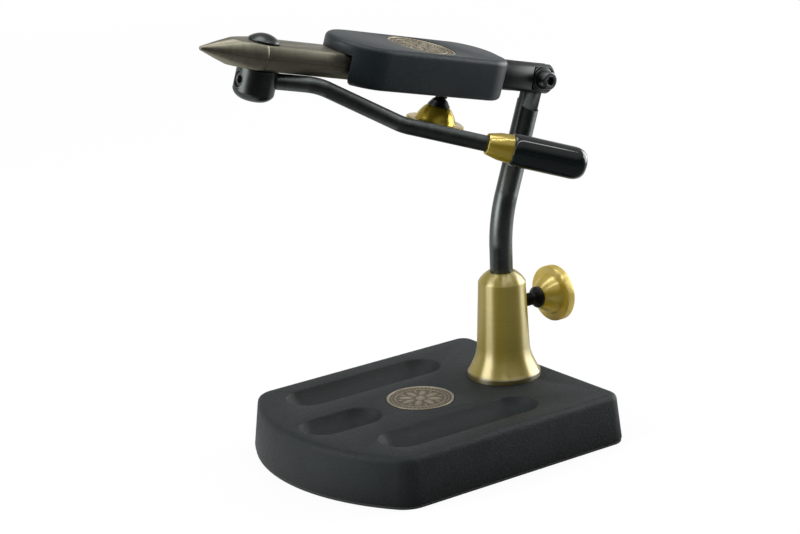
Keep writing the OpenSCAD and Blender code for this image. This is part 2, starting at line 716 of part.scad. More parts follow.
module head_housing() {
    channel_front = head_front_x + head_front_r + over - channel_rear_x;
    color([0.12, 0.13, 0.14]) head_frame() difference() {
        hull() {
            head_disc(head_front_x, 0, head_front_r);
            head_disc(head_near_corner_x, head_front_r - head_near_corner_r, head_near_corner_r);
            head_disc(head_far_corner_x, -head_far_corner_y, head_far_corner_r);
        }
        translate([channel_rear_x, -channel_half_w, -head_bottom - over])
            cube([channel_front, 2 * channel_half_w, head_bottom + over + channel_roof]);
        rotate([0, 90, 0]) cylinder(h = head_bore_end, r = spindle_r + run_gap, $fn = fine);
        translate([head_medallion_x, 0, head_top - head_medallion_sunk - medallion_t - seat_gap])
            cylinder(h = medallion_t + over, r = medallion_r + medallion_gap, $fn = fine);
        translate([head_knob_x, 0, -head_bottom - over])
            cylinder(h = head_bottom + over, r = stud_r + run_gap, $fn = mid);
        translate([jaw_pin_x, channel_half_w + jaw_pin_r, -jaw_drop]) rotate([90, 0, 0])
            cylinder(h = 2 * head_front_r, r = jaw_pin_r + seat_gap, $fn = mid);
    }
}

module head_medallion() {
    color([0.42, 0.36, 0.26]) head_frame()
        translate([head_medallion_x, 0, head_top - head_medallion_sunk - medallion_t]) medallion();
}

module jaw_pin() {
    color([0.5, 0.5, 0.52]) jaw_frame()
        translate([jaw_pin_x, channel_half_w + jaw_pin_r - seat_gap, 0]) rotate([90, 0, 0])
            cylinder(h = 2 * channel_half_w + 2 * jaw_pin_r, r = jaw_pin_r, $fn = mid);
}

// Solid of the jaw stock along x, with its turned point
module jaw_stock() {
    nose = jaw_tip_r;
    swell = [2 * jaw_point_bulge, 0];
    base = [jaw_r, jaw_cone_x];
    end = [nose, jaw_tip_x - nose];
    rotate([0, 90, 0]) rotate_extrude($fn = fine) polygon(concat(
        [[0, jaw_rear_x], [jaw_r, jaw_rear_x]],
        blend(base, (base + end) / 2 + swell, end, 4),
        [for (i = [1:4]) [nose * cos(90 * i / 4), jaw_tip_x - nose + nose * sin(90 * i / 4)]]));
}

// Space over the slanted face of the cam disc, out to radius r, on the upper side of the split
module over_cam_face(r, height) {
    intersection() {
        cylinder(h = 2 * height, r = r, $fn = mid);
        translate([0, 0, height]) rotate([0, -cam_tilt, 0])
            translate([-2 * r, -2 * r, -4 * r]) cube([4 * r, 4 * r, 4 * r]);
    }
}

// The upper jaw in the jaws' frame. The lower jaw is its mirror image
module half_jaw() {
    relief = jaw_pin_x + jaw_pin_r - jaw_rear_x + over;
    difference() {
        intersection() {
            jaw_stock();
            translate([0, -jaw_r, split_half]) cube([jaw_tip_x + over, 2 * jaw_r, jaw_half - split_half]);
        }
        translate([jaw_pin_x, 0, 0]) rotate([90, 0, 0])
            cylinder(h = 2 * jaw_r + over, r = jaw_pin_r + run_gap, center = true, $fn = mid);
        translate([jaw_rear_x - over, -jaw_r - over, 0]) cube([relief, 2 * jaw_r + 2 * over, jaw_gap]);
        translate([cam_x, 0, 0]) {
            cylinder(h = jaw_t, r = cam_pin_r + jaw_gap, $fn = mid);
            over_cam_face(cam_disc_r + jaw_gap, cam_disc_half + cam_gap);
        }
    }
}

module upper_jaw() {
    color([0.42, 0.39, 0.34]) jaw_frame() half_jaw();
}

module lower_jaw() {
    color([0.42, 0.39, 0.34]) jaw_frame() mirror([0, 0, 1]) half_jaw();
}

module cam_pin() {
    pin_high = button_z + button_h / 2;
    color([0.3, 0.3, 0.31]) head_frame() translate([cam_x, 0, 0]) {
        translate([0, 0, -collar_side_z]) cylinder(h = collar_side_z + pin_high, r = cam_pin_r, $fn = mid);
        translate([0, 0, cam_mid_z]) {
            over_cam_face(cam_disc_r, cam_disc_half);
            mirror([0, 0, 1]) over_cam_face(cam_disc_r, cam_disc_half);
        }
    }
}

module cam_button() {
    cap_h = button_h - button_h / 8;
    cap_r = (pow(button_r, 2) + pow(cap_h, 2)) / (2 * cap_h);
    color([0.2, 0.2, 0.2]) head_frame() translate([cam_x, 0, button_z]) difference() {
        rotate_extrude($fn = fine) polygon(concat(
            [[0, 0], [button_r, 0]],
            arc([0, button_h - cap_r], cap_r, asin((cap_r - cap_h) / cap_r), 90, 12)));
        translate([0, 0, -over])
            cylinder(h = button_h / 2 + over + seat_gap, r = cam_pin_r + seat_gap, $fn = mid);
    }
}

module lever_collar() {
    color([0.13, 0.13, 0.14]) head_frame() translate([cam_x, 0, 0]) difference() {
        rotate_extrude($fn = fine) polygon(concat(
            [[0, -collar_end_z]],
            reversed(soft_dome([collar_r, -collar_side_z], [collar_end_r, -collar_end_z], 6,
                               2 * soft_bulge)),
            [[collar_r, -collar_top], [0, -collar_top]]));
        translate([0, 0, -collar_side_z - seat_gap])
            cylinder(h = collar_side_h + over, r = cam_pin_r + seat_gap, $fn = mid);
        translate([0, 0, -set_screw_z]) rotate([0, 90, 0])
            cylinder(h = collar_r + over, r = set_screw_r + seat_gap, $fn = mid);
        translate([0, 0, -rod_z]) rotate([0, 0, 180 - lever_yaw]) rotate([0, 90 - first_rise, 0])
            cylinder(h = collar_r + over, r = rod_r + seat_gap, $fn = mid);
    }
}

module set_screw() {
    from = cam_pin_r + seat_gap;
    to = collar_r - set_screw_r / 4;
    color([0.1, 0.1, 0.11]) head_frame() translate([cam_x, 0, -set_screw_z])
    rotate([0, 90, 0]) difference() {
        translate([0, 0, from]) cylinder(h = to - from, r = set_screw_r, $fn = mid);
        translate([0, 0, (from + to) / 2]) cylinder(h = to, r = set_screw_af / 2 / cos(30), $fn = 6);
    }
}

// Straight run of the lever's rod along x
module rod_run(x_from, x_to) {
    translate([x_from, 0, 0]) rotate([0, 90, 0]) cylinder(h = x_to - x_from, r = rod_r, $fn = mid);
}

// Bend of the lever's rod in its upright plane, from angle a through angle turn
module rod_bend(a, turn) {
    rotate([0, -a, 0]) rotate([90, 0, 0])
        rotate_extrude(angle = turn, $fn = fine)
            translate([knee_r, 0]) circle(rod_r + bend_swell, $fn = mid);
}

module lever_rod() {
    turn_1 = first_rise + knee_fall;
    turn_2 = knee_fall - tail_fall;
    cut_1 = knee_r * tan(turn_1 / 2);
    cut_2 = knee_r * tan(turn_2 / 2);
    run_1 = knee_1 / cos(first_rise);
    run_2 = (knee_2 - knee_1) / cos(knee_fall);
    color([0.2, 0.2, 0.2]) lever_frame() translate([0, 0, -rod_z]) {
        rotate([0, -first_rise, 0]) {
            rod_run(rod_start, run_1 - cut_1 + bend_lap);
            translate([run_1 - cut_1, 0, -knee_r]) rod_bend(90 - turn_1, turn_1);
        }
        translate([knee_1, 0, knee_1_rise]) rotate([0, knee_fall, 0]) {
            rod_run(cut_1 - bend_lap, run_2 - cut_2 + bend_lap);
            translate([run_2 - cut_2, 0, knee_r]) rod_bend(-90, turn_2);
        }
        translate([knee_2, 0, -knee_2_drop]) rotate([0, tail_fall, 0])
            rod_run(cut_2 - bend_lap, rod_end - knee_2);
    }
}

// Puts children on the lever's tail: z along it, from the second knee
module tail_frame() {
    lever_frame() translate([knee_2, 0, -rod_z - knee_2_drop]) rotate([0, 90 + tail_fall, 0]) children();
}

module lever_ferrule() {
    belly_r = ferrule_r1 + (ferrule_r2 - ferrule_r1) * 3 / 4;
    color([0.80, 0.68, 0.36]) tail_frame() translate([0, 0, ferrule_x - knee_2]) difference() {
        rotate_extrude($fn = fine) polygon([
            [0, 0], [ferrule_r1, 0], [belly_r, ferrule_l / 2], [ferrule_r2, ferrule_l - seat_gap],
            [0, ferrule_l - seat_gap]]);
        translate([0, 0, -over]) cylinder(h = ferrule_l + 2 * over, r = rod_r + seat_gap, $fn = mid);
    }
}

module lever_grip() {
    body_l = grip_l - grip_nose;
    color([0.04, 0.04, 0.04]) tail_frame() translate([0, 0, grip_x - knee_2]) difference() {
        rotate_extrude($fn = fine) polygon(concat(
            [[0, 0]],
            [for (i = [0:6]) [ferrule_r2 + (grip_r - ferrule_r2) * sin(90 * i / 6),
                              grip_swell_l * (1 - cos(90 * i / 6))]],
            [for (i = [0:8]) [grip_nib_r + (grip_r - grip_nib_r) * cos(90 * i / 8),
                              body_l + grip_nose * sin(90 * i / 8)]],
            [[grip_nib_r / 3, grip_l + grip_nib_h], [0, grip_l + grip_nib_h]]));
        translate([0, 0, -over])
            cylinder(h = rod_end - grip_x + over + seat_gap, r = rod_r + seat_gap, $fn = mid);
    }
}

base_casting();
base_pad();
base_medallion();
post();
post_bolt();
post_bolt_washer();
stem_foot();
stem();
post_plug();
post_stud();
post_knob();
pivot_arm();
tilt_screw();
spring_washer();
flat_washer();
head_housing();
head_medallion();
head_plug();
head_stud();
head_knob();
upper_jaw();
lower_jaw();
jaw_pin();
cam_pin();
cam_button();
lever_collar();
set_screw();
lever_rod();
lever_ferrule();
lever_grip();
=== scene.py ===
"""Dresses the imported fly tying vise: cast coat, turned brass, screw threads, inlay relief, camera and studio."""

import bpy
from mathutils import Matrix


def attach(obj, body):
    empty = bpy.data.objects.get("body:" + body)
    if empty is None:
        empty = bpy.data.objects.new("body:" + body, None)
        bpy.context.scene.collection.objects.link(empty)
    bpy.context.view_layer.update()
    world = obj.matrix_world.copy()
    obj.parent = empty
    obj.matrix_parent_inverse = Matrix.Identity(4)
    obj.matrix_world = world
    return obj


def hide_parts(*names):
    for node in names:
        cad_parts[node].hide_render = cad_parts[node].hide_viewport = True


bl_info = {
    "name": "Fly Tying Vise Dressing",
    "version": (1, 0, 0),
    "blender": (4, 5, 0),
    "location": "View3D > Sidebar > Vise",
    "description": "Builds the looks of a rotary fly tying vise around its packed frame",
    "category": "Object",
}

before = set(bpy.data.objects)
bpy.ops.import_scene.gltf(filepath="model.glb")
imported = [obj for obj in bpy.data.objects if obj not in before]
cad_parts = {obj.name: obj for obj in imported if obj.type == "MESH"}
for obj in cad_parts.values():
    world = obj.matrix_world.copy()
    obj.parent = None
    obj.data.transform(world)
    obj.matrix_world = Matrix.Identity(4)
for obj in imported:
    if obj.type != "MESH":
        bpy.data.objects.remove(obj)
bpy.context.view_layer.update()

import math

import bmesh
import bpy
from mathutils import Matrix, Vector

MM = 0.001
NEAR = 1e-6  # metres, under which points count as one
FULL_TURN = 2 * math.pi
WHITE = (1.0, 1.0, 1.0, 1.0)


# Places.

def shift(x=0.0, y=0.0, z=0.0):
    """Move by millimetres."""
    return Matrix.Translation(Vector((x, y, z)) * MM)


def turn(degrees, axis):
    """Turn about one axis."""
    return Matrix.Rotation(math.radians(degrees), 4, axis)


# Sizes of the frame, in millimetres and degrees, as the CAD has them.
BASE_TOP = 20.5
STEM_LEAN = 19.2
BEND_START, BEND_R, STEM_ARM = 76.0, 66.0, 48.9
HEAD_PITCH, HEAD_ROLL, HEAD_TOP = 13.3, 7.0, 8.4
JAW_PIN_X, JAW_PIN_DROP, JAW_RISE = 86, 1.7, 0.3
CAM_X, LEVER_SWING = 135.6, 180 - 27
TAIL_REACH, TAIL_DROP, TAIL_DIP = 59, 17.81, 1.7
POST_CLAMP_Z, HEAD_CLAMP_X = 50, 46
BASE_INLAY_X, HEAD_INLAY_X = 44.2, 61.5
INLAY_T, INLAY_STEP = 2.2, 0.2

LEAN = math.radians(STEM_LEAN)
PIVOT_X = -BEND_R * (1 - math.cos(LEAN)) - STEM_ARM * math.sin(LEAN)
PIVOT_Z = BEND_START + BEND_R * math.sin(LEAN) + STEM_ARM * math.cos(LEAN)

# Frames of the pieces.
ARM = shift(PIVOT_X, 0, PIVOT_Z) @ turn(-HEAD_PITCH, "Y")
HEAD = ARM @ turn(-HEAD_ROLL, "X")
JAWS = HEAD @ shift(JAW_PIN_X, 0, -JAW_PIN_DROP) @ turn(-JAW_RISE, "Y") @ shift(-JAW_PIN_X, 0, 0)
CAM = HEAD @ shift(CAM_X, 0, 0)
LEVER = CAM @ turn(LEVER_SWING, "Z")
TAIL = LEVER @ shift(TAIL_REACH, 0, -TAIL_DROP) @ turn(90 + TAIL_DIP, "Y")
TILT = ARM @ turn(-90, "X")
POST = shift(0, 0, BASE_TOP)
POST_SCREW = shift(0, 0, POST_CLAMP_Z) @ turn(-90, "Y")
HEAD_SCREW = HEAD @ shift(HEAD_CLAMP_X, 0, 0) @ turn(180, "X")
BASE_INLAY = shift(BASE_INLAY_X, 0, BASE_TOP + INLAY_STEP - INLAY_T)
HEAD_INLAY = HEAD @ shift(HEAD_INLAY_X, 0, HEAD_TOP - INLAY_STEP - INLAY_T)


# Shader graphs.

NOISE_SPREAD = (0.3, 0.7)  # between which nearly all of a noise lies
EDGE_FACING, EDGE_WORN = 0.998, 0.90  # cosines at which an edge starts to show wear, and shows it all
FINE_DEPTH = 0.00003  # metres
GROUPS = {}
FINISHES = {}


class Graph:
    """Adds nodes to one tree, with their settings and links in one call."""

    def __init__(self, tree):
        self.tree = tree

    def node(self, kind, inputs=None, **settings):
        made = self.tree.nodes.new(kind)
        for name, value in settings.items():
            setattr(made, name, value)
        for name, value in (inputs or {}).items():
            self.feed(made.inputs[name], value)
        return made

    def feed(self, socket, value):
        if isinstance(value, bpy.types.NodeSocket):
            self.tree.links.new(value, socket)
        else:
            socket.default_value = value

    def math(self, operation, a, b=0.0, clamp=False):
        return self.node("ShaderNodeMath", {0: a, 1: b}, operation=operation, use_clamp=clamp).outputs[0]

    def vector_math(self, operation, inputs, output="Vector"):
        return self.node("ShaderNodeVectorMath", inputs, operation=operation).outputs[output]

    def parts(self, vector):
        return self.node("ShaderNodeSeparateXYZ", {"Vector": vector}).outputs

    def noise(self, at, scale, detail=3.0, rough=0.5):
        return self.node("ShaderNodeTexNoise", {"Vector": at, "Scale": scale, "Detail": detail,
                                                "Roughness": rough}).outputs["Fac"]

    def remap(self, value, low, high, to_low=0.0, to_high=1.0):
        return self.node("ShaderNodeMapRange", {"Value": value, "From Min": low, "From Max": high,
                                                "To Min": to_low, "To Max": to_high}).outputs[0]

    def mix(self, factor, a, b):
        return self.node("ShaderNodeMix", {0: factor, 6: a, 7: b}, data_type="RGBA").outputs[2]


def shader_group(name, inputs, outputs, build):
    """A node group. inputs are (name, socket type, default), and outputs are (name, socket type)."""
    tree = bpy.data.node_groups.new(name, "ShaderNodeTree")
    for label, kind, default in inputs:
        socket = tree.interface.new_socket(name=label, in_out="INPUT", socket_type=kind)
        if default is not None:
            socket.default_value = default
    for label, kind in outputs:
        tree.interface.new_socket(name=label, in_out="OUTPUT", socket_type=kind)
    graph = Graph(tree)
    source = tree.nodes.new("NodeGroupInput")
    drain = tree.nodes.new("NodeGroupOutput")
    for label, socket in build(graph, source.outputs).items():
        tree.links.new(socket, drain.inputs[label])
    return tree


def build_coat_grain(graph, given):
    """Bumps of a sprayed powder coat, with a slow change of tone."""
    fine = graph.noise(given["Vector"], given["Grain"], rough=0.6)
    slow = graph.noise(given["Vector"], given["Patch"], rough=0.55)
    return {"Height": fine, "Tone": graph.remap(slow, *NOISE_SPREAD)}


def build_turned_grain(graph, given):
    """Fine rings round the z axis, as a lathe tool or a fine cloth leaves them."""
    part = graph.parts(given["Vector"])
    flat = graph.node("ShaderNodeCombineXYZ", {"X": part["X"], "Y": part["Y"]}).outputs[0]
    reach = graph.vector_math("LENGTH", {0: flat}, "Value")
    side = graph.vector_math("NORMALIZE", {0: flat})
    side = graph.parts(graph.vector_math("SCALE", {0: side, "Scale": given["Around"]}))
    along = graph.math("MULTIPLY", graph.math("ADD", part["Z"], reach), given["Along"])
    place = graph.node("ShaderNodeCombineXYZ", {"X": side["X"], "Y": side["Y"], "Z": along}).outputs[0]
    return {"Lines": graph.remap(graph.noise(place, 1.0, 4.0, 0.65), *NOISE_SPREAD)}


def build_edge_wear(graph, given):
    """Mask of the edges that hands and cloth have rubbed, broken up by noise."""
    round_off = graph.node("ShaderNodeBevel", {"Radius": given["Width"]}, samples=6).outputs["Normal"]
    plain = graph.node("ShaderNodeNewGeometry").outputs["Normal"]
    apart = graph.vector_math("DOT_PRODUCT", {0: round_off, 1: plain}, "Value")
    edge = graph.remap(apart, EDGE_FACING, EDGE_WORN)
    patch = graph.noise(given["Vector"], given["Patch"])
    return {"Worn": graph.math("MULTIPLY", edge, graph.remap(patch, 0.35, 0.65), clamp=True)}


def shader_groups():
    """The three shared effects, by the names that the finishes use."""
    number = "NodeSocketFloat"
    where = ("Vector", "NodeSocketVector", None)
    return {
        "coat": shader_group("Coat Grain", [where, ("Grain", number, 1100.0), ("Patch", number, 60.0)],
                             [("Height", number), ("Tone", number)], build_coat_grain),
        "turned": shader_group("Turned Grain", [where, ("Around", number, 1.0), ("Along", number, 4000.0)],
                               [("Lines", number)], build_turned_grain),
        "wear": shader_group("Edge Wear", [where, ("Width", number, 0.0005), ("Patch", number, 300.0)],
                             [("Worn", number)], build_edge_wear),
    }


def shade(colour, share):
    """A colour made darker or lighter."""
    return tuple(min(1.0, c * share) for c in colour[:3]) + (1.0,)


def new_material(name, place=None, **shader_inputs):
    """A Principled material, its graph and the object coordinates in the frame of a piece."""
    material = bpy.data.materials.new(name)
    material.use_nodes = True
    graph = Graph(material.node_tree)
    shader = material.node_tree.nodes["Principled BSDF"]
    for label, value in shader_inputs.items():
        shader.inputs[label.replace("_", " ")].default_value = value
    place = place or Matrix.Identity(4)
    at = graph.node("ShaderNodeTexCoord").outputs["Object"]
    at = graph.node("ShaderNodeMapping", {"Vector": at, "Location": place.translation,
                                          "Rotation": place.to_euler()}, vector_type="TEXTURE").outputs[0]
    return material, graph, shader, at


def link(graph, shader, **sockets):
    """Links sockets into the shader's inputs, whose names are written with underscores for spaces."""
    for label, socket in sockets.items():
        graph.tree.links.new(socket, shader.inputs[label.replace("_", " ")])


def stretched(graph, shader, at, place, amount):
    """Stretches the highlights of turned metal across its fine rings, as a lathe leaves them."""
    part = graph.parts(at)
    back = graph.math("MULTIPLY", part["Y"], -1.0)
    ring = graph.node("ShaderNodeCombineXYZ", {"X": back, "Y": part["X"]}).outputs[0]
    ring = graph.node("ShaderNodeMapping", {"Vector": ring, "Rotation": place.to_euler()},
                      vector_type="VECTOR").outputs[0]
    ring = graph.node("ShaderNodeVectorTransform", {"Vector": ring}, vector_type="VECTOR",
                      convert_from="OBJECT", convert_to="WORLD").outputs[0]
    link(graph, shader, Tangent=graph.vector_math("NORMALIZE", {0: ring}))
    shader.inputs["Anisotropic"].default_value = amount
    shader.inputs["Anisotropic Rotation"].default_value = 0.25  # of a full turn


def bump(graph, height, strength, depth):
    """Normals from a height, depth in metres."""
    return graph.node("ShaderNodeBump", {"Height": height, "Strength": strength, "Distance": depth}).outputs["Normal"]


def group_node(graph, name, **inputs):
    """Places a shared effect in a material, with the material's own values."""
    made = graph.node("ShaderNodeGroup", node_tree=GROUPS[name])
    for label, value in inputs.items():
        graph.feed(made.inputs[label], value)
    return made.outputs


def powder_coat(name, colour, grain, strength, rough, gloss):
    """Black powder coat on a casting: low gloss, fine bumps, paler where it is rubbed, and painted shade that darkens
    it in hollows and recesses.
    """
    material, graph, shader, at = new_material(name, Specular_IOR_Level=gloss)
    coat = group_node(graph, "coat", Vector=at, Grain=grain, Patch=55.0)
    worn = group_node(graph, "wear", Vector=at, Width=0.0007, Patch=260.0)["Worn"]
    # Painted shade: ambient occlusion darkens the coat's colour to 40 per cent in hollows and recesses, such as the
    # base's pockets.
    painted_hollow_shade = graph.node("ShaderNodeAmbientOcclusion", {"Distance": 0.012}, samples=4).outputs["AO"]
    tone = graph.mix(coat["Tone"], shade(colour, 0.85), shade(colour, 1.15))
    tone = graph.mix(graph.remap(painted_hollow_shade, 0.4, 0.95), shade(colour, 0.4), tone)
    tone = graph.mix(graph.math("MULTIPLY", worn, 0.35), tone, shade(colour, 2.2))
    matt = graph.remap(coat["Height"], *NOISE_SPREAD, rough - 0.06, rough + 0.06)
    link(graph, shader, Base_Color=tone, Roughness=matt, Normal=bump(graph, coat["Height"], strength, 0.0002))
    return material


def satin_metal(name, colour, place, rough, around=0.8, along=5200.0, strength=0.12, tone=0.16,
                stretch=0.75, metallic=1.0, foot=0.0, **shader_inputs):
    """Turned metal with fine rings round the z axis of its place, darkened below the height of its foot by painted
    shade.
    """
    material, graph, shader, at = new_material(name, place, Metallic=metallic, **shader_inputs)
    stretched(graph, shader, at, place, stretch)
    lines = group_node(graph, "turned", Vector=at, Around=around, Along=along)["Lines"]
    slow = graph.noise(at, 640.0, 4.0)
    blend = graph.math("ADD", graph.math("MULTIPLY", lines, 0.7), graph.math("MULTIPLY", slow, 0.3))
    tint = graph.mix(blend, shade(colour, 1 - tone), shade(colour, 1 + tone))
    matt = graph.remap(blend, 0.2, 0.8, rough * (1 - tone), rough * (1 + tone))
    # Painted shade: below the foot height the colour darkens to 35 per cent. This stands in for the dark base that
    # the flange mirrors and the shade where it stands on the base.
    if foot:
        tint = graph.mix(graph.remap(graph.parts(at)["Z"], foot * 0.75, foot), shade(colour, 0.35), tint)
    link(graph, shader, Base_Color=tint, Roughness=matt, Normal=bump(graph, lines, strength, FINE_DEPTH))
    return material


def dark_steel(name, colour, place, rough, worn_colour=(0.30, 0.29, 0.27), painted_shade_heights=None):
    """Blackened steel: streaks along the bar, faint blotches, and bare metal at rubbed edges.

    The range of heights, if given, is where painted shade is laid on the steel: its colour is a quarter lighter below
    the range and cut to 45 per cent above it."""
    material, graph, shader, at = new_material(name, place, Metallic=1.0)
    lines = group_node(graph, "turned", Vector=at, Around=14.0, Along=260.0)["Lines"]
    blot = graph.noise(at, 420.0, 4.0, 0.6)
    worn = group_node(graph, "wear", Vector=at, Width=0.0004, Patch=500.0)["Worn"]
    tone = graph.mix(graph.remap(blot, *NOISE_SPREAD), shade(colour, 0.88), shade(colour, 1.14))
    tone = graph.mix(graph.math("MULTIPLY", lines, 0.2), tone, shade(colour, 0.8))
    # Painted shade and a painted lift by height alone: lighter low on the stem, darker higher up.
    if painted_shade_heights:
        depth = graph.remap(graph.parts(at)["Z"], *painted_shade_heights, 1.25, 0.45)
        tone = graph.vector_math("SCALE", {0: tone, "Scale": depth})
    tone = graph.mix(graph.math("MULTIPLY", worn, 0.25), tone, (*worn_colour, 1.0))
    matt = graph.remap(blot, *NOISE_SPREAD, rough - 0.02, rough + 0.04)
    link(graph, shader, Base_Color=tone, Roughness=matt, Normal=bump(graph, lines, 0.03, FINE_DEPTH))
    return material


def aged_bronze(name, colour, place, depth):
    """Struck bronze: dark in its hollows, rubbed bright at its top, which lies at a depth above its place."""
    material, graph, shader, at = new_material(name, place, Metallic=0.9)
    relief = 0.35 * MM
    high = graph.remap(graph.parts(at)["Z"], depth - relief, depth)
    grain = graph.noise(at, 1500.0, 4.0, 0.7)
    spots = graph.remap(grain, 0.35, 0.65)
    bright = graph.math("MULTIPLY", high, graph.remap(grain, 0.2, 0.6, 0.5, 1.0), clamp=True)
    tone = graph.mix(spots, shade(colour, 0.36), shade(colour, 0.6))
    link(graph, shader, Base_Color=graph.mix(bright, tone, shade(colour, 1.25)),
         Roughness=graph.remap(bright, 0.0, 1.0, 0.6, 0.38), Normal=bump(graph, grain, 0.25, 0.00005))
    return material


def plain_finish(name, colour, rough, grain, strength, tone=0.2, **shader_inputs):
    """Rubber or plastic with a faint grain."""
    material, graph, shader, at = new_material(name, **shader_inputs)
    fine = graph.noise(at, grain)
    tint = graph.mix(graph.remap(fine, *NOISE_SPREAD), shade(colour, 1 - tone), shade(colour, 1 + tone))
    matt = graph.remap(fine, *NOISE_SPREAD, rough * 0.9, min(1.0, rough * 1.1))
    link(graph, shader, Base_Color=tint, Roughness=matt, Normal=bump(graph, fine, strength, 0.00004))
    return material


# Pieces.

def finish_piece(name, bm, body, finish, replaces=(), place=None, sharp=32.0, recalc=True):
    """Makes a piece of a finished bmesh: smooth with sharp creases, its place in its mesh, riding on its body."""
    if recalc:
        bmesh.ops.recalc_face_normals(bm, faces=bm.faces)
    mesh = bpy.data.meshes.new(name)
    bm.to_mesh(mesh)
    bm.free()
    if place is not None:
        mesh.transform(place)
    mesh.polygons.foreach_set("use_smooth", [True] * len(mesh.polygons))
    mesh.set_sharp_from_angle(angle=math.radians(sharp))
    piece = bpy.data.objects.new(name, mesh)
    bpy.context.scene.collection.objects.link(piece)
    mesh.materials.append(FINISHES[finish])
    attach(piece, body)
    if replaces:
        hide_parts(*replaces)


def rounded(corners, steps=4):
    """A section line through corners (r, z, rounding), in millimetres, each corner rounded by an arc."""
    points = []
    for i, (r, z, radius) in enumerate(corners):
        here = Vector((r, z))
        if radius <= 0 or i in (0, len(corners) - 1):
            points.append(here)
            continue
        back = Vector(corners[i - 1][:2]) - here
        ahead = Vector(corners[i + 1][:2]) - here
        half = back.angle(ahead) / 2
        cut = min(radius / math.tan(half), back.length * 0.49, ahead.length * 0.49)
        start, end = here + back.normalized() * cut, here + ahead.normalized() * cut
        middle = here + (back.normalized() + ahead.normalized()).normalized() * (cut / math.cos(half))
        reach = cut * math.tan(half)
        a, b = start - middle, end - middle
        swing = a.angle_signed(b, 0.0)
        for k in range(steps + 1):
            t = -swing * k / steps
            points.append(middle + reach / max(a.length, NEAR) * Vector(
                (a.x * math.cos(t) - a.y * math.sin(t), a.x * math.sin(t) + a.y * math.cos(t))))
    return points


def turned(points, steps=96):
    """A closed solid spun round z from a section line of (r, z) in millimetres."""
    bm = bmesh.new()
    verts = [bm.verts.new((p[0] * MM, 0, p[1] * MM)) for p in points]
    edges = [bm.edges.new(pair) for pair in zip(verts, verts[1:])]
    bmesh.ops.spin(bm, geom=verts + edges, cent=(0, 0, 0), axis=(0, 0, 1), angle=FULL_TURN, steps=steps,
                   use_merge=True)
    bmesh.ops.remove_doubles(bm, verts=bm.verts, dist=NEAR)
    return bm


def threaded(bm, r, root, low, high, pitch, steps=36):
    """Adds an outside screw thread round z from low to high, in millimetres, run out by a cone at both ends."""
    turns = int((high - low) / pitch)
    marks = ((root, 0.0), (root, 0.12), (r, 0.44), (r, 0.56), (root, 0.88), (root, 1.0))
    verts = [bm.verts.new((a * MM, 0, (low + b * pitch) * MM)) for a, b in marks]
    edges = [bm.edges.new(pair) for pair in zip(verts, verts[1:])]
    before = set(bm.verts) - set(verts)
    bmesh.ops.spin(bm, geom=verts + edges, cent=(0, 0, 0), axis=(0, 0, 1), dvec=(0, 0, pitch * MM / steps),
                   angle=FULL_TURN * (turns - 1), steps=steps * (turns - 1), use_merge=False)
    made = [v for v in bm.verts if v not in before]
    bmesh.ops.remove_doubles(bm, verts=made, dist=NEAR)
    top = low + turns * pitch
    for v in bm.verts:
        if v in before:
            continue
        reach = math.hypot(v.co.x, v.co.y) / MM
        limit = root + max(0.0, min(v.co.z / MM - low, top - v.co.z / MM)) * (r - root) / (0.8 * pitch)
        if reach > limit:
            v.co.x, v.co.y = v.co.x * limit / reach, v.co.y * limit / reach


def bulged(outer, inner, share, count=8):
    """Points from an outer (r, z) to an inner one: a straight cone with a share of a quarter ellipse's bulge."""
    points = []
    for i in range(count + 1):
        t = i / count
        round_r = inner[0] + (outer[0] - inner[0]) * math.cos(t * math.pi / 2)
        round_z = outer[1] + (inner[1] - outer[1]) * math.sin(t * math.pi / 2)
        points.append((share * round_r + (1 - share) * (outer[0] + (inner[0] - outer[0]) * t),
                       share * round_z + (1 - share) * (outer[1] + (inner[1] - outer[1]) * t)))
    return points


def knurled(r, depth, low, high, ridges, run_out=0.35):
    """A sleeve of straight ridges round z, in millimetres, run out at both ends."""
    bm = bmesh.new()
    ring = bmesh.ops.create_circle(bm, cap_ends=False, radius=(r - depth) * MM, segments=2 * ridges)["verts"]
    bmesh.ops.translate(bm, verts=ring, vec=(0, 0, low * MM))
    edges = list({e for v in ring for e in v.link_edges})
    for z, raised in ((low + run_out, True), (high - run_out, True), (high, False)):
        grown = bmesh.ops.extrude_edge_only(bm, edges=edges)["geom"]
        ring = {g for g in grown if isinstance(g, bmesh.types.BMVert)}
        edges = [g for g in grown if isinstance(g, bmesh.types.BMEdge) and ring.issuperset(g.verts)]
        for v in ring:
            odd = round(math.atan2(v.co.y, v.co.x) * ridges / math.pi) % 2
            reach = r if raised and odd else r - depth
            share = reach * MM / math.hypot(v.co.x, v.co.y)
            v.co = (v.co.x * share, v.co.y * share, z * MM)
    return bm


def lump(bm, half_x, half_y, half_z, place, segments=16, rings=8):
    """Adds an ellipsoid, in millimetres, in a place."""
    bmesh.ops.create_uvsphere(bm, u_segments=segments, v_segments=rings, radius=MM,
                              matrix=place @ Matrix.Diagonal((half_x, half_y, half_z, 1)))


def rounded_edges(bm, width, angle=28.0, segments=2):
    """Rounds off the sharp edges of a closed bmesh, width in millimetres."""
    sharp = [e for e in bm.edges if len(e.link_faces) == 2 and e.calc_face_angle(0.0) > math.radians(angle)]
    if sharp:
        bmesh.ops.bevel(bm, geom=sharp, offset=width * MM, offset_type="OFFSET", segments=segments, profile=0.5,
                        affect="EDGES", clamp_overlap=True, material=-1, loop_slide=True)
    return bm


def cad_copy(node):
    """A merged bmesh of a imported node, with its flat faces whole again."""
    bm = bmesh.new()
    bm.from_mesh(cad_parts[node].data)
    bmesh.ops.remove_doubles(bm, verts=bm.verts, dist=2 * NEAR)
    bmesh.ops.dissolve_limit(bm, angle_limit=math.radians(0.6), verts=bm.verts, edges=bm.edges,
                             use_dissolve_boundaries=False, delimit=set())
    return bm


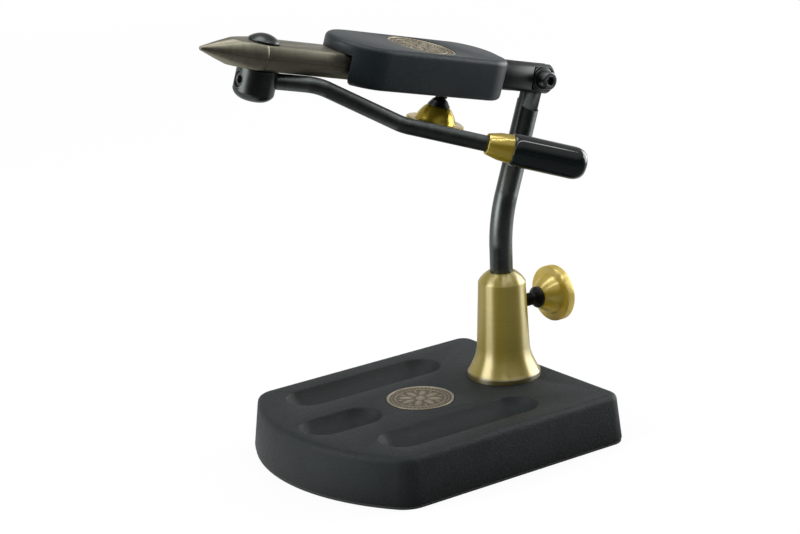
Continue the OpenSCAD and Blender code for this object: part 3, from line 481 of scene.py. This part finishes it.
def softened(node, width, angle=28.0, segments=3):
    """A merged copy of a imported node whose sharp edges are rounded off."""
    return rounded_edges(cad_copy(node), width, angle, segments)


def dress_node(name, node, body, finish, width, angle=28.0, segments=2, sharp=32.0):
    """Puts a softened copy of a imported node, with its finish, in the node's place."""
    finish_piece(name, softened(node, width, angle, segments), body, finish, (node,),
                 sharp=sharp, recalc=False)


# Settings.

class ViseColours(bpy.types.PropertyGroup):
    """Colours of the vise's finishes."""
    coat: bpy.props.FloatVectorProperty(name="Base coat", description="Colour of the base's powder coat",
                                        subtype="COLOR", size=3, default=(0.0095, 0.0130, 0.0138))
    head: bpy.props.FloatVectorProperty(name="Head coat", description="Colour of the head's powder coat",
                                        subtype="COLOR", size=3, default=(0.0060, 0.0120, 0.0148))
    brass: bpy.props.FloatVectorProperty(name="Brass", description="Colour of the turned brass",
                                         subtype="COLOR", size=3, default=(0.272, 0.206, 0.005))
    steel: bpy.props.FloatVectorProperty(name="Blackened steel", description="Colour of the stem, arm and lever",
                                         subtype="COLOR", size=3, default=(0.086, 0.095, 0.093))
    jaws: bpy.props.FloatVectorProperty(name="Jaw steel", description="Colour of the hardened jaws",
                                        subtype="COLOR", size=3, default=(0.235, 0.222, 0.170))
    bronze: bpy.props.FloatVectorProperty(name="Bronze", description="Colour of the two inlays",
                                          subtype="COLOR", size=3, default=(0.28, 0.245, 0.18))
    grip: bpy.props.FloatVectorProperty(name="Grip", description="Colour of the dipped grip",
                                        subtype="COLOR", size=3, default=(0.003, 0.005, 0.005))


class ViseDetails(bpy.types.PropertyGroup):
    """Sizes of what the looks add to the frame."""
    pitch: bpy.props.FloatProperty(name="Thread pitch", description="Pitch of the clamp screws",
                                   subtype="DISTANCE", unit="LENGTH", default=0.001, min=0.0005, max=0.002)
    edge: bpy.props.FloatProperty(name="Edge softness", description="Rounding of the castings' cut edges",
                                  subtype="DISTANCE", unit="LENGTH", default=0.0004, min=0.0001, max=0.001)
    beads: bpy.props.IntProperty(name="Inlay beads", description="Beads round an inlay", default=48, min=12, max=90)
    petals: bpy.props.IntProperty(name="Inlay petals", description="Petals of an inlay's rosette", default=8,
                                  min=5, max=16)


class ViseStudio(bpy.types.PropertyGroup):
    """Light and camera."""
    lens: bpy.props.FloatProperty(name="Lens", description="Focal length of the camera in millimetres",
                                  default=107.227, min=35, max=300)
    fill: bpy.props.FloatProperty(name="Fill light", description="Level of the light from all round",
                                  default=0.38, min=0, max=2)
    boxes: bpy.props.FloatProperty(name="Softboxes", description="Level of the softboxes", default=1.0, min=0, max=4)


# Operators.

class VISE_OT_finishes(bpy.types.Operator):
    """Make the materials of the vise"""
    bl_idname = "vise.finishes"
    bl_label = "Finishes"

    def execute(self, context):
        colours = context.scene.vise_colours
        GROUPS.update(shader_groups())
        brass, steel, bronze = tuple(colours.brass), tuple(colours.steel), tuple(colours.bronze)
        black, zinc, rubber, milky = (0.034, 0.036, 0.037), (0.55, 0.55, 0.56), (0.022,) * 3, (0.72, 0.71, 0.66)
        gold = (brass[0], 0.95 * brass[1], brass[2])
        # The foot height paints shade on the post's flange, below 2.6 mm.
        lacquer = {"metallic": 0.38, "IOR": 2.6, "stretch": 0.85, "foot": 2.6 * MM}
        polish = {"metallic": 0.8, "IOR": 2.8, "stretch": 0.85, "tone": 0.04, "strength": 0.02}
        FINISHES.update({
            "base coat": powder_coat("Base powder coat", tuple(colours.coat),
                                     grain=1250.0, strength=0.9, rough=0.6, gloss=0.26),
            "head coat": powder_coat("Head powder coat", tuple(colours.head),
                                     grain=1900.0, strength=0.3, rough=0.44, gloss=0.35),
            "post brass": satin_metal("Post satin brass", brass, POST, 0.34, along=3600.0, strength=0.1, **lacquer),
            # Painted highlight: the post knob's brass is a lighter copy of the head knob's (2.0 against 1.6 times the
            # gold), for the bright floor that its disc mirrors.
            "post knob brass": satin_metal("Post knob brass", shade(gold, 2.0), POST_SCREW, 0.34,
                                           **{**polish, "metallic": 0.4, "tone": 0.1}),
            "head knob brass": satin_metal("Head knob brass", shade(gold, 1.6), HEAD_SCREW, 0.24, **polish),
            "ferrule brass": satin_metal("Ferrule brass", shade(gold, 1.35), TAIL, 0.20,
                                         **{**polish, "metallic": 0.6}),
            # Painted shade on the upper stem: the steel darkens from 70 to 100 mm above the base top, and is lighter
            # below.
            "stem steel": dark_steel("Stem blackened steel", steel, POST, 0.34, painted_shade_heights=(0.070, 0.100)),
            # Painted shade: the arm's steel is a darker copy of the stem's, cut to 45 per cent to hold back the
            # reflection along its top.
            "arm steel": dark_steel("Arm blackened steel", shade(steel, 0.45), ARM @ turn(90, "Y"), 0.42),
            "rod steel": dark_steel("Lever blackened steel", shade(steel, 0.95), LEVER @ turn(90, "Y"), 0.36),
            # Painted shade: the cam's steel is a darker copy of the stem's, cut to 60 per cent to hold back the
            # reflection on the button's top.
            "cam steel": dark_steel("Cam blackened steel", shade(steel, 0.6), CAM, 0.28),
            "jaw steel": satin_metal("Hardened jaw steel", tuple(colours.jaws), JAWS @ turn(90, "Y"), 0.43,
                                     around=1.2, along=3600.0, strength=0.2, tone=0.2),
            "black screw": dark_steel("Black oxide screw", shade(black, 2.8), TILT, 0.34,
                                      worn_colour=(0.16, 0.16, 0.16)),
            "post stud": dark_steel("Post stud black", black, POST_SCREW, 0.34, worn_colour=(0.12, 0.12, 0.12)),
            "head stud": dark_steel("Head stud black", black, HEAD_SCREW, 0.34, worn_colour=(0.12, 0.12, 0.12)),
            "zinc": satin_metal("Zinc plated steel", zinc, POST, 0.34, tone=0.1),
            "base bronze": aged_bronze("Base inlay bronze", bronze, BASE_INLAY, INLAY_T * MM),
            "head bronze": aged_bronze("Head inlay bronze", bronze, HEAD_INLAY, INLAY_T * MM),
            "rubber": plain_finish("Pad rubber", rubber, rough=0.85, grain=2200.0, strength=0.5),
            "glide": plain_finish("Glide plastic", milky, rough=0.45, grain=900.0, strength=0.1, tone=0.05),
            "grip": plain_finish("Dipped grip", tuple(colours.grip), rough=0.08, grain=240.0, strength=0.03,
                                 tone=0.1, Specular_IOR_Level=0.3, Coat_Weight=0.3, Coat_Roughness=0.03),
        })
        return {"FINISHED"}


class VISE_OT_castings(bpy.types.Operator):
    """Base and head with softened cut edges"""
    bl_idname = "vise.castings"
    bl_label = "Castings"

    def execute(self, context):
        edge = context.scene.vise_details.edge / MM
        dress_node("base_body", "base_casting", "base", "base coat", edge, segments=3)
        dress_node("base_pad_rubber", "base_pad", "base", "rubber", 0.15)
        dress_node("head_body", "head_housing", "head", "head coat", 0.35, segments=3)
        return {"FINISHED"}


class VISE_OT_post(bpy.types.Operator):
    """Turned brass post and the bolt that holds it"""
    bl_idname = "vise.post"
    bl_label = "Post"

    def execute(self, context):
        dress_node("post_body", "post", "base", "post brass", 0.3, angle=20, segments=3)
        dress_node("post_bolt_body", "post_bolt", "base", "zinc", 0.2)
        dress_node("post_bolt_ring", "post_bolt_washer", "base", "zinc", 0.1)
        return {"FINISHED"}


class VISE_OT_stem(bpy.types.Operator):
    """Cranked stem, its glide foot and the pivot arm"""
    bl_idname = "vise.stem"
    bl_label = "Stem and arm"

    def execute(self, context):
        dress_node("stem_bar", "stem", "stem", "stem steel", 0.15)
        dress_node("stem_glide", "stem_foot", "glide", "glide", 0.2)
        dress_node("arm_bar", "pivot_arm", "arm", "arm steel", 0.2)
        return {"FINISHED"}


# Half width of the fork, thickness of its spring washer and flat washer, and the gap between pieces, in millimetres.
FORK_HALF, SPRING_T, WASHER_T, STACK_GAP = 4.0, 1.1, 0.7, 0.02


class VISE_OT_tilt_screw(bpy.types.Operator):
    """Socket screw of the fork with its washers"""
    bl_idname = "vise.tilt_screw"
    bl_label = "Tilt screw"

    def execute(self, context):
        ring_foot = FORK_HALF + STACK_GAP
        seat = FORK_HALF + SPRING_T + WASHER_T + 3 * STACK_GAP
        screw = softened("tilt_screw", 0.15)
        ridges = knurled(r=3.78, depth=0.14, low=seat + 0.35, high=seat + 3.75, ridges=42)
        spare = bpy.data.meshes.new("knurl")
        ridges.to_mesh(spare)
        spare.transform(TILT)
        screw.from_mesh(spare)
        ridges.free()
        bpy.data.meshes.remove(spare)
        finish_piece("tilt_screw_body", screw, "arm", "black screw", ("tilt_screw",),
                     sharp=24, recalc=False)
        ring = split_ring(inner=2.1, outer=5.4, low=ring_foot, high=ring_foot + SPRING_T, gap=7.0)
        finish_piece("tilt_spring_ring", ring, "arm", "black screw", ("spring_washer",),
                     TILT @ turn(115, "Z"))
        dress_node("tilt_flat_ring", "flat_washer", "arm", "black screw", 0.12)
        return {"FINISHED"}


def split_ring(inner, outer, low, high, gap):
    """A square ring round z cut through at one place, gap in degrees."""
    bm = bmesh.new()
    verts = [bm.verts.new((r * MM, 0, z * MM)) for r, z in ((inner, low), (outer, low), (outer, high), (inner, high))]
    face = bm.faces.new(verts)
    bmesh.ops.spin(bm, geom=[face, *face.edges, *face.verts], cent=(0, 0, 0), axis=(0, 0, 1),
                   angle=FULL_TURN - math.radians(gap), steps=60, use_merge=False)
    bmesh.ops.holes_fill(bm, edges=[e for e in bm.edges if e.is_boundary], sides=4)
    return rounded_edges(bm, 0.12, 40)


# Name, place, foot of the stud and foot of the knob's hub along the screw, in millimetres.
CLAMPS = (("post", POST_SCREW, 8.03, 19.5), ("head", HEAD_SCREW, 5.07, 15.1))
THREAD_R, THREAD_ROOT, STUD_CORE, COLLAR_R, BORE_DEPTH = 2.7, 2.1, 2.12, 4.5, 6.2


class VISE_OT_thumb_knobs(bpy.types.Operator):
    """Thumb knobs, their threaded studs and plugs"""
    bl_idname = "vise.thumb_knobs"
    bl_label = "Thumb knobs"

    def execute(self, context):
        pitch = context.scene.vise_details.pitch / MM
        for where, place, foot, hub in CLAMPS:
            body, brass, black = where + "_knob", where + " knob brass", where + " stud"
            finish_piece(where + "_knob_body", turned(knob_section()), body, brass,
                         (body,), place @ shift(0, 0, hub))
            neck = hub - 2.6
            stud = turned(rounded(stud_section(foot, neck, hub, stepped=where == "head")), 48)
            threaded(stud, r=THREAD_R, root=THREAD_ROOT, low=foot + 0.2, high=neck - 0.2, pitch=pitch)
            finish_piece(where + "_stud_body", stud, body, black, (where + "_stud",), place, sharp=40)
            dress_node(where + "_plug_body", where + "_plug", where + "_plug", brass, 0.2)
        return {"FINISHED"}


def stud_section(foot, neck, hub, stepped):
    """Half section of a stud: core of the thread, collar, and the end in the knob's bore."""
    collar = [(3.15, neck, 0.15), (COLLAR_R, neck + 1.3, 0.35)]
    if stepped:
        collar = [(3.0 + 0.42 * i + step, neck + 0.3 + 0.62 * i + 0.3 * step, 0.06)
                  for i in range(4) for step in (-0.12, 0.22)]
    face, end = hub - STACK_GAP, hub + BORE_DEPTH
    return [(0, foot, 0), (1.7, foot, 0), (STUD_CORE, foot + 0.45, 0), (STUD_CORE, neck - 0.5, 0),
            (THREAD_R, neck, 0.2), *collar, (COLLAR_R, face, 0.15), (THREAD_R, face, 0), (THREAD_R, end, 0),
            (0, end, 0)]


def knob_section():
    """Half section of a thumb knob: bored hub that swells up to a disc with a dished back."""
    bore_r, bore_end = THREAD_R + STACK_GAP, BORE_DEPTH + STACK_GAP
    disc_r, disc_top = 11.8, 10.4
    hub = bulged(outer=(8.32, 5.95), inner=(4.4, 0.0), share=1 / 3)
    hub.reverse()
    corners = [(0, bore_end, 0), (bore_r, bore_end, 0), (bore_r, 0.3, 0), (3.0, 0, 0), (4.1, 0, 0)]
    corners += [(r, z + (0.12 if i == 0 else 0), 0) for i, (r, z) in enumerate(hub)]
    corners += [(8.6, 6.2, 0.1), (disc_r, 6.2, 0.7), (disc_r, disc_top, 0.7),
                (9.6, disc_top, 0.3), (9.2, 10.15, 0.3), (2.2, 10.05, 0.2), (1.9, 9.85, 0.1), (0, 9.85, 0)]
    return rounded(corners)


class VISE_OT_inlays(bpy.types.Operator):
    """Round bronze inlays with a beaded rosette"""
    bl_idname = "vise.inlays"
    bl_label = "Inlays"

    def execute(self, context):
        details = context.scene.vise_details
        for where, body, place in (("base", "base", BASE_INLAY), ("head", "head", HEAD_INLAY)):
            finish_piece(where + "_inlay", inlay(details.beads, details.petals), body, where + " bronze",
                         (where + "_medallion",), place)
        return {"FINISHED"}


def inlay(beads, petals):
    """A coin of bronze: raised rim, ring of beads, ridge and a rosette."""
    edge_r, field, ridge = 13.9, 1.85, 2.05
    bm = turned(rounded([(0, 0, 0), (edge_r, 0, 0.1), (edge_r, INLAY_T, 0.2), (13.1, INLAY_T, 0.2),
                         (12.75, field, 0.12), (10.75, field, 0.1), (10.55, ridge, 0.1), (10.2, ridge, 0.1),
                         (10.0, field, 0.1), (0, field, 0)]))
    for i in range(beads):
        lump(bm, 0.42, 0.42, 0.3, turn(360 * i / beads, "Z") @ shift(11.75, 0, field), 10, 6)
    for i in range(petals):
        ray = turn(360 * i / petals, "Z")
        lump(bm, 3.3, 1.55, 0.32, ray @ shift(5.9, 0, field))
        lump(bm, 2.6, 0.3, 0.42, ray @ shift(5.7, 0, field))
        lump(bm, 1.3, 0.55, 0.28, ray @ turn(180 / petals, "Z") @ shift(8.3, 0, field))
    lump(bm, 2.2, 2.2, 0.4, shift(0, 0, field), 24, 8)
    return bm


class VISE_OT_jaws(bpy.types.Operator):
    """Jaws and their cross pin"""
    bl_idname = "vise.jaws"
    bl_label = "Jaws"

    def execute(self, context):
        for which in ("upper_jaw", "lower_jaw"):
            bm = cad_copy(which)
            groove(bm, JAWS @ turn(90, "Y"), r=8.5, at=137.5, half=0.3, depth=0.16)
            finish_piece(which + "_body", rounded_edges(bm, 0.06, 24), which, "jaw steel", (which,),
                         recalc=False)
        dress_node("jaw_pin_body", "jaw_pin", "head", "zinc", 0.15)
        return {"FINISHED"}


def groove(bm, place, r, at, half, depth):
    """Cuts a turned groove into a round of radius r about z of a place, at a height, in millimetres."""
    back = place.inverted()
    for z in (at - half, at, at + half):
        bmesh.ops.bisect_plane(bm, geom=[*bm.verts, *bm.edges, *bm.faces], dist=0.1 * NEAR,
                               plane_co=place @ Vector((0, 0, z * MM)), plane_no=place.to_3x3() @ Vector((0, 0, 1)))
    for v in bm.verts:
        here = back @ v.co
        reach = math.hypot(here.x, here.y)
        if abs(here.z - at * MM) < NEAR and reach > (r - 0.02) * MM:
            share = (r - depth) * MM / reach
            v.co = place @ Vector((here.x * share, here.y * share, here.z))


class VISE_OT_lever(bpy.types.Operator):
    """Cam pin, button, collar and the bent lever with its grip"""
    bl_idname = "vise.lever"
    bl_label = "Cam and lever"

    def execute(self, context):
        dress_node("cam_pin_body", "cam_pin", "lever", "cam steel", 0.08)
        dress_node("cam_button_body", "cam_button", "lever", "cam steel", 0.12)
        dress_node("lever_collar_body", "lever_collar", "lever", "cam steel", 0.14, angle=20, sharp=20)
        dress_node("collar_screw_body", "set_screw", "lever", "black screw", 0.12)
        dress_node("lever_bar", "lever_rod", "lever", "rod steel", 0.15)
        dress_node("lever_ferrule_body", "lever_ferrule", "lever", "ferrule brass", 0.2, angle=20)
        dress_node("lever_grip_body", "lever_grip", "lever", "grip", 0.2)
        return {"FINISHED"}


class VISE_OT_studio(bpy.types.Operator):
    """White floor, soft light and the camera"""
    bl_idname = "vise.studio"
    bl_label = "Studio"

    def execute(self, context):
        studio = context.scene.vise_studio
        build_floor()
        build_world(studio.fill)
        build_softboxes(studio.boxes)
        build_camera(studio.lens)
        context.scene.view_settings.view_transform = "Standard"
        return {"FINISHED"}


FRONT_LEVEL = 0.06  # of the white behind the vise, for what metal mirrors from the viewer's side
TOWARD_VIEWER = (0.63, 0.78)  # seen from above
LOBES = (
    # azimuth, half width at full level and half width at none, in degrees, and level
    (-13, 12, 36, 1.0),
    (-52, 15, 50, 0.7),
    (171, 18, 40, 1.0),
    (231, 20, 75, 0.6),
)


def cosine(degrees):
    return math.cos(math.radians(degrees))


def lobe(graph, way, azimuth, inner, outer, peak):
    """A bright sector of the floor round the vise."""
    aim = Vector((cosine(azimuth), math.sin(math.radians(azimuth)), 0))
    near = graph.vector_math("DOT_PRODUCT", {0: way, 1: aim}, "Value")
    return graph.remap(near, cosine(outer), cosine(inner), 0.0, peak)


def mirrored(graph, ray):
    """1 for what metal and glass show."""
    return graph.math("MAXIMUM", ray["Is Glossy Ray"], ray["Is Transmission Ray"])


def floor_material():
    """Paper that takes shadows, seen as a glow that fades to pure white, and mirrored as bright sectors with a
    painted shadow near the vise.
    """
    material = bpy.data.materials.new("Studio floor")
    material.use_nodes = True
    material.node_tree.nodes.clear()
    graph = Graph(material.node_tree)
    paper = graph.node("ShaderNodeBsdfDiffuse", {"Color": (0.86, 0.86, 0.86, 1.0)})
    ray = graph.node("ShaderNodeLightPath").outputs
    seen = graph.math("MAXIMUM", ray["Is Camera Ray"], mirrored(graph, ray))
    flat = graph.node("ShaderNodeTexCoord").outputs["Object"]
    way = graph.vector_math("NORMALIZE", {0: flat})
    level = FRONT_LEVEL
    for sector in LOBES:
        level = graph.math("MAXIMUM", level, lobe(graph, way, *sector))
    reach = graph.vector_math("LENGTH", {0: flat}, "Value")
    # Painted shadow: what metal mirrors of the floor dims to 30 per cent within 4 cm of the middle, rising to full at
    # 10 cm.
    level = graph.math("MULTIPLY", level, graph.remap(reach, 0.04, 0.10, 0.3, 1.0))
    level = graph.math("MAXIMUM", ray["Is Camera Ray"], level)
    glow = graph.node("ShaderNodeEmission", {"Color": WHITE, "Strength": level})
    share = graph.math("MULTIPLY", seen, graph.remap(reach, 0.3, 1.1, 0.90, 1.0))
    both = graph.node("ShaderNodeMixShader", {0: share, 1: paper.outputs[0], 2: glow.outputs[0]})
    out = graph.node("ShaderNodeOutputMaterial", {"Surface": both.outputs[0]})
    material.node_tree.nodes.active = out
    return material


def build_floor():
    """A wide floor under the base."""
    bm = bmesh.new()
    bmesh.ops.create_grid(bm, x_segments=8, y_segments=8, size=6.0)
    mesh = bpy.data.meshes.new("studio_floor")
    bm.to_mesh(mesh)
    bm.free()
    mesh.materials.append(floor_material())
    floor = bpy.data.objects.new("studio_floor", mesh)
    bpy.context.scene.collection.objects.link(floor)


def build_world(fill):
    """White behind the object, and a dimmer room in front of it for what metal mirrors."""
    world = bpy.data.worlds.new("Studio")
    bpy.context.scene.world = world
    world.use_nodes = True
    world.node_tree.nodes.clear()
    graph = Graph(world.node_tree)
    ray = graph.node("ShaderNodeLightPath").outputs
    part = graph.parts(graph.node("ShaderNodeTexCoord").outputs["Generated"])
    ahead = graph.math("ADD", *(graph.math("MULTIPLY", part[axis], share)
                                for axis, share in zip("XY", TOWARD_VIEWER)))
    dim = graph.remap(ahead, -0.35, 0.25, 1.0, FRONT_LEVEL)
    dim = graph.math("MULTIPLY", dim, graph.remap(part["Z"], 0.02, 0.4, 1.0, 0.4))
    dim = graph.math("MAXIMUM", dim, graph.remap(part["Z"], 0.35, 0.7, 0.0, 0.6))
    backdrop, room, mirror = (graph.node("ShaderNodeBackground", {"Color": WHITE, "Strength": level}).outputs[0]
                              for level in (1.0, fill, dim))
    unseen = graph.node("ShaderNodeMixShader", {0: mirrored(graph, ray), 1: room, 2: mirror}).outputs[0]
    light = graph.node("ShaderNodeMixShader", {0: ray["Is Camera Ray"], 1: unseen, 2: backdrop}).outputs[0]
    graph.node("ShaderNodeOutputWorld", {"Surface": light})


SOFTBOXES = (
    # name, place in metres, size in metres, watts
    ("front_box", (1.05, -0.24, 0.45), (0.65, 0.9), 10.0),
    ("rear_box", (-0.95, 0.15, 0.30), (0.9, 0.7), 12.0),
    ("top_box", (0.05, -0.15, 1.05), (0.6, 0.5), 4.0),
    ("strip_box", (-0.04, 0.30, 0.84), (0.9, 0.05), 1.4),
)
LOOK_AT = Vector((0.03, 0.0, 0.09))


def build_softboxes(level):
    """Area lamps that look at the middle of the vise."""
    for name, place, (width, height), watts in SOFTBOXES:
        lamp = bpy.data.lights.new(name, "AREA")
        lamp.shape, lamp.size, lamp.size_y, lamp.energy = "RECTANGLE", width, height, watts * level
        holder = bpy.data.objects.new(name, lamp)
        bpy.context.scene.collection.objects.link(holder)
        holder.location = place
        holder.rotation_euler = (LOOK_AT - Vector(place)).to_track_quat("-Z", "Y").to_euler()


# Camera of the picture, as the outlines of the base and the post give it.
CAMERA_PLACE = (0.592709, 0.734810, 0.351453)
CAMERA_RIGHT = (-0.79841, 0.60102, -0.03628)
CAMERA_UP = (-0.20056, -0.20865, 0.95721)
CAMERA_AHEAD = (-0.56773, -0.77152, -0.28712)


def build_camera(lens):
    data = bpy.data.cameras.new("camera")
    data.lens, data.sensor_width, data.sensor_fit = lens, 36.0, "HORIZONTAL"
    data.clip_start, data.clip_end = 0.05, 50.0
    camera = bpy.data.objects.new("camera", data)
    bpy.context.scene.collection.objects.link(camera)
    columns = (Vector(CAMERA_RIGHT), Vector(CAMERA_UP), -Vector(CAMERA_AHEAD))
    facing = Matrix.Identity(3)
    for index, column in enumerate(columns):
        facing.col[index] = column
    camera.rotation_euler = facing.to_euler()
    camera.location = CAMERA_PLACE
    bpy.context.scene.camera = camera


# Panel and run.

STEPS = (VISE_OT_finishes, VISE_OT_castings, VISE_OT_post, VISE_OT_stem, VISE_OT_tilt_screw, VISE_OT_thumb_knobs,
         VISE_OT_inlays, VISE_OT_jaws, VISE_OT_lever, VISE_OT_studio)
SETTINGS = (("vise_colours", ViseColours), ("vise_details", ViseDetails), ("vise_studio", ViseStudio))


class VISE_PT_panel(bpy.types.Panel):
    """Lists the steps that dress the vise"""
    bl_idname = "VISE_PT_panel"
    bl_label = "Fly tying vise"
    bl_space_type = "VIEW_3D"
    bl_region_type = "UI"
    bl_category = "Vise"

    def draw(self, context):
        for name, group in SETTINGS:
            for field in group.__annotations__:
                self.layout.prop(getattr(context.scene, name), field)
        for step in STEPS:
            self.layout.operator(step.bl_idname)


def register():
    for name, group in SETTINGS:
        bpy.utils.register_class(group)
        setattr(bpy.types.Scene, name, bpy.props.PointerProperty(type=group))
    for part in (*STEPS, VISE_PT_panel):
        bpy.utils.register_class(part)


def unregister():
    for part in reversed((*STEPS, VISE_PT_panel)):
        bpy.utils.unregister_class(part)
    for name, group in reversed(SETTINGS):
        delattr(bpy.types.Scene, name)
        bpy.utils.unregister_class(group)


def main():
    register()
    for step in STEPS:
        family, action = step.bl_idname.split(".")
        getattr(getattr(bpy.ops, family), action)()


if __name__ == "__main__":
    main()
